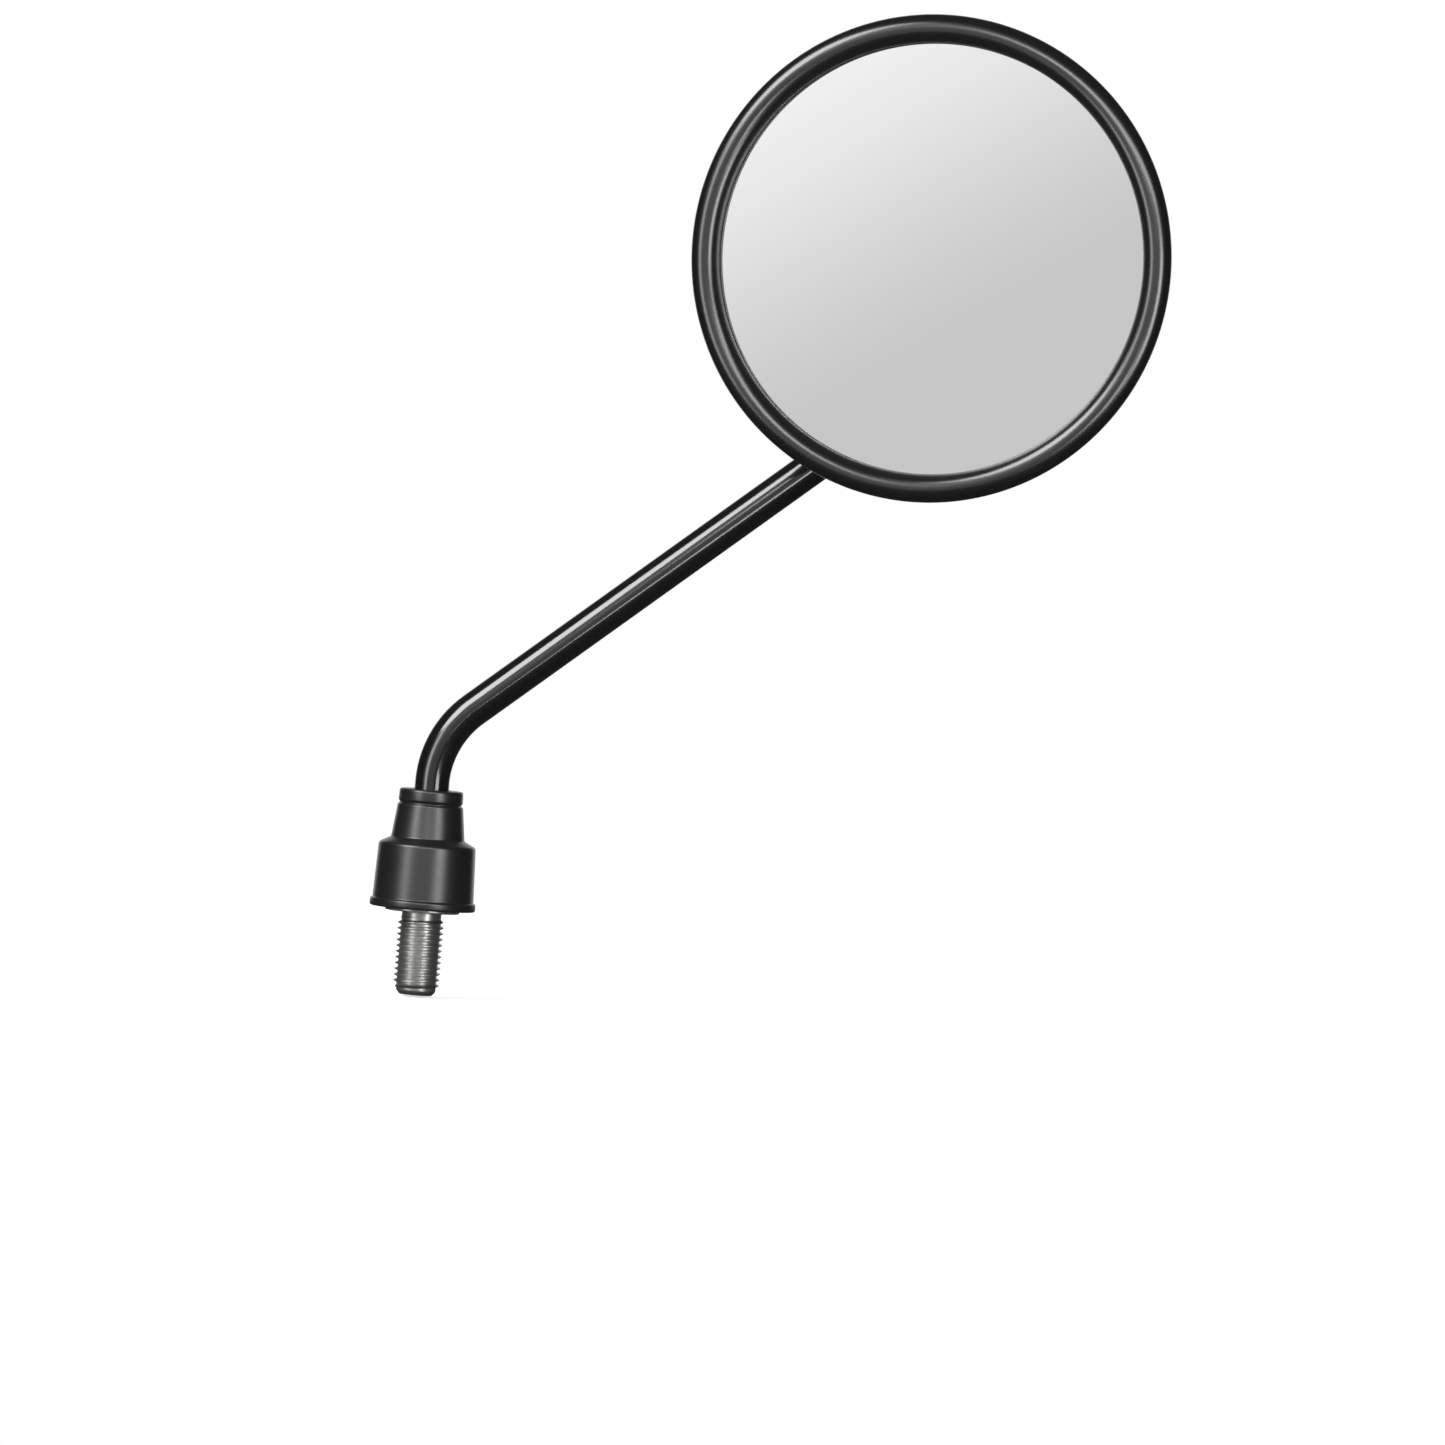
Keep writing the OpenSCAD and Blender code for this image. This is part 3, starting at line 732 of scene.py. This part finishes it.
def make_base():
    """The stud, its hexagon and the upper thread that takes the lock nut."""
    stud_core, boss_core = STUD_R - 0.72, BOSS_R - 0.58
    core = lathe(rounded([
        (0, -STUD_LENGTH, 0), (3.5, -STUD_LENGTH, 0.2), (stud_core, -STUD_LENGTH + 0.9, 0.2), (stud_core, 0.2, 0.1),
        (stud_core, HEX_LOW + 1, 0), (0, HEX_LOW + 1, 0)], closed=False), closed=False, steps=64)
    stud_thread = thread(STUD_R, stud_core, STUD_PITCH, -STUD_LENGTH + 0.5, -0.4)
    boss = lathe(rounded([
        (PILOT_R, PILOT_LOW + 3.2, 0), (boss_core, PILOT_LOW + 3.2, 0), (boss_core, BOSS_TOP, 0.3),
        (PILOT_R, BOSS_TOP, 0.3)]), steps=64)
    boss_thread = thread(BOSS_R, boss_core, BOSS_PITCH, HEX_TOP + 0.2, BOSS_TOP - 0.1)
    bore = lathe([(0, PILOT_LOW), (PILOT_R, PILOT_LOW), (PILOT_R, HEX_TOP + 1), (0, HEX_TOP + 1)],
                 closed=False, steps=64)
    block = carve(hexagon(HEX_LOW, HEX_TOP), bore)
    bm = join(block, core, stud_thread, boss, boss_thread)
    piece("base", bm, BASE, "base", "plated_steel", "stud_base", ZINC)


def make_seat_washer():
    bm = lathe(rounded([(5.25, 0, 0.15), (8.05, 0, 0.3), (8.05, 1.2, 0.3), (5.25, 1.2, 0.15)]), steps=96)
    piece("washer", bm, BASE, "base", "plated_steel", "seat_washer", ZINC)


def make_lock_nut():
    """The nut's hexagon and its round neck, which closes in over the disc spring."""
    bore = lathe([(0, NUT_LOW - 1), (BOSS_R + 0.05, NUT_LOW - 1), (BOSS_R + 0.05, NUT_HEX_TOP + 1),
                  (0, NUT_HEX_TOP + 1)], closed=False, steps=64)
    block = carve(hexagon(NUT_LOW, NUT_HEX_TOP), bore)
    neck = lathe(rounded([
        (BOSS_R + 0.05, NUT_HEX_TOP - 1, 0), (NUT_NECK_R, NUT_HEX_TOP - 1, 0), (NUT_NECK_R, NUT_TOP, 0.5),
        (ROD_R + 0.4, NUT_TOP, 0.3), (ROD_R + 0.4, NUT_TOP - 2, 0.1), (5.0, NUT_TOP - 2, 0.1), (5.0, BOSS_TOP, 0)]),
        steps=64)
    piece("nut", join(block, neck), BASE, "base", "plated_steel", "lock_nut", ZINC)


# ---------------------------------------------------------------- build

make_glass()
make_seal()
make_rim()
make_shell()
make_stem()
make_boot()
make_base()
make_seat_washer()
make_lock_nut()

KEPT_NODES = {
    "friction_washer": NYLON, "disc_spring": SPRING_STEEL, "swivel_collar": ZINC, "ball": POLISHED_STEEL,
    "ball_liner": NYLON, "pressure_cup": NYLON, "joint_spring": SPRING_STEEL, "clamp_plate": ZINC,
    "clamp_screws": ZINC, "screw_washers": SPRING_STEEL, "foam_pad": FOAM, "backing_plate": GREY_PLASTIC,
}
for name, material in KEPT_NODES.items():
    node = nodes[name]
    node.data.materials.clear()
    node.data.materials.append(material)

# ---------------------------------------------------------------- studio

AIM = Vector((61.3, 0, 45.9)) * MM
CAMERA_DISTANCE = 2.0
ELEVATION = math.radians(1.5)
ROLL = math.radians(4.64)
SENSOR_MM = 36.0
VIEW_WIDTH = 0.3114    # what the frame takes in at the stem's distance, in metres


def make_camera():
    """A long lens, square to the stem's plane, leaning so that the stud's axis tips to the right."""
    data = bpy.data.cameras.new("camera")
    data.sensor_width = SENSOR_MM
    data.lens = SENSOR_MM * CAMERA_DISTANCE / VIEW_WIDTH
    data.clip_start = 0.05
    camera = bpy.data.objects.new("camera", data)
    bpy.context.collection.objects.link(camera)
    back = Vector((0, -math.cos(ELEVATION), math.sin(ELEVATION)))
    level = Vector((1, 0, 0))
    upright = back.cross(level)
    right = level * math.cos(ROLL) + upright * math.sin(ROLL)
    up = upright * math.cos(ROLL) - level * math.sin(ROLL)
    turn = Matrix((right, up, back)).transposed().to_4x4()
    camera.matrix_world = Matrix.Translation(AIM + back * CAMERA_DISTANCE) @ turn
    bpy.context.scene.camera = camera


def direction(azimuth, elevation):
    """Unit vector from the object, azimuth in degrees to the right of the camera's side."""
    a, e = math.radians(azimuth), math.radians(elevation)
    return Vector((math.sin(a) * math.cos(e), -math.cos(a) * math.cos(e), math.sin(e)))


def softbox(name, azimuth, elevation, width, height, radiance, distance=1.2):
    """A soft area lamp of a given brightness, facing the object."""
    data = bpy.data.lights.new(name, "AREA")
    data.shape = "RECTANGLE"
    data.size, data.size_y = width, height
    data.energy = math.pi * width * height * radiance
    lamp = bpy.data.objects.new(name, data)
    bpy.context.collection.objects.link(lamp)
    way = direction(azimuth, elevation)
    lamp.matrix_world = Matrix.Translation(AIM + way * distance) @ way.to_track_quat("Z", "Y").to_matrix().to_4x4()
    lamp.visible_camera = False


def dot(tree, vector, way):
    node = add(tree, "ShaderNodeVectorMath", {0: vector}, operation="DOT_PRODUCT")
    node.inputs[1].default_value = way
    return node.outputs["Value"]


def smooth(tree, value, start, end, low=0.0, high=1.0):
    node = add(tree, "ShaderNodeMapRange", {"Value": value}, interpolation_type="SMOOTHSTEP",
               From_Min=start, From_Max=end, To_Min=low, To_Max=high)
    return node.outputs[0]


def largest(tree, *values):
    result = values[0]
    for value in values[1:]:
        result = add(tree, "ShaderNodeMath", {0: result, 1: value}, operation="MAXIMUM").outputs[0]
    return result


def make_world():
    """White behind the object, and on the camera's side a soft glow that the glass looks into."""
    ambient, dark = 0.25, 0.05
    world = bpy.data.worlds.new("studio")
    bpy.context.scene.world = world
    world.use_nodes = True
    tree = world.node_tree
    tree.nodes.clear()
    way = add(tree, "ShaderNodeTexCoord").outputs["Generated"]
    seen = direction(-24, 1.4)
    left = Vector((0, 0, -1)).cross(seen).normalized()
    rise = (left * 0.56 + Vector((0, 0, 1)) * 0.83).normalized()
    glow = smooth(tree, dot(tree, way, rise), -0.06 + seen.dot(rise), 0.12 + seen.dot(rise), 0.61, 0.965)
    window = smooth(tree, dot(tree, way, seen), math.cos(math.radians(48)), math.cos(math.radians(22)))
    front = add(tree, "ShaderNodeMath", {0: glow, 1: window}, operation="MULTIPLY").outputs[0]
    sheet = smooth(tree, dot(tree, way, Vector((0, 1, 0))), math.cos(math.radians(38)), math.cos(math.radians(24)))
    mirrored = add(tree, "ShaderNodeMath", {0: largest(tree, front, sheet)}, operation="MAXIMUM")
    mirrored.inputs[1].default_value = dark
    rays = add(tree, "ShaderNodeLightPath").outputs
    lit = add(tree, "ShaderNodeMix", {"Factor": rays["Is Glossy Ray"], "B": mirrored.outputs[0]}, A=ambient)
    clear = largest(tree, rays["Is Camera Ray"], rays["Is Transmission Ray"])
    level = add(tree, "ShaderNodeMix", {"Factor": clear, "A": lit.outputs[0]}, B=1.0)
    background = add(tree, "ShaderNodeBackground", {"Strength": level.outputs[0]}, Color=(1, 1, 1, 1))
    output = add(tree, "ShaderNodeOutputWorld")
    tree.links.new(background.outputs[0], output.inputs["Surface"])


def make_floor():
    """A pale floor just under the stud's tip."""
    bm = bmesh.new()
    bmesh.ops.create_grid(bm, x_segments=1, y_segments=1, size=0.4)
    floor = to_object("floor", bm)
    floor.location = (AIM.x, 0, cad_box[0][2] - 0.0005)
    material, tree, shader = new_material("floor", Roughness=0.9)
    rays = add(tree, "ShaderNodeLightPath").outputs
    shader.inputs["Emission Color"].default_value = (1, 1, 1, 1)
    glow = add(tree, "ShaderNodeMath", {0: rays["Is Camera Ray"]}, operation="MULTIPLY")
    glow.inputs[1].default_value = 0.62
    tree.links.new(glow.outputs[0], shader.inputs["Emission Strength"])
    two_tone(tree, shader, rays["Is Glossy Ray"], (0.86, 0.86, 0.86), (0.05, 0.05, 0.05))
    floor.data.materials.append(material)


make_camera()
make_world()
make_floor()
softbox("key", -50, 35, 0.56, 0.56, 10.5)
softbox("left", -46, 4, 0.32, 0.8, 4.0)
softbox("top", 10, 25, 1.1, 0.24, 7.0)
softbox("right", 33, -2, 0.42, 0.72, 7.6)
softbox("low", 10, -12, 0.34, 0.16, 9.0)

bpy.context.scene.view_settings.view_transform = "Standard"
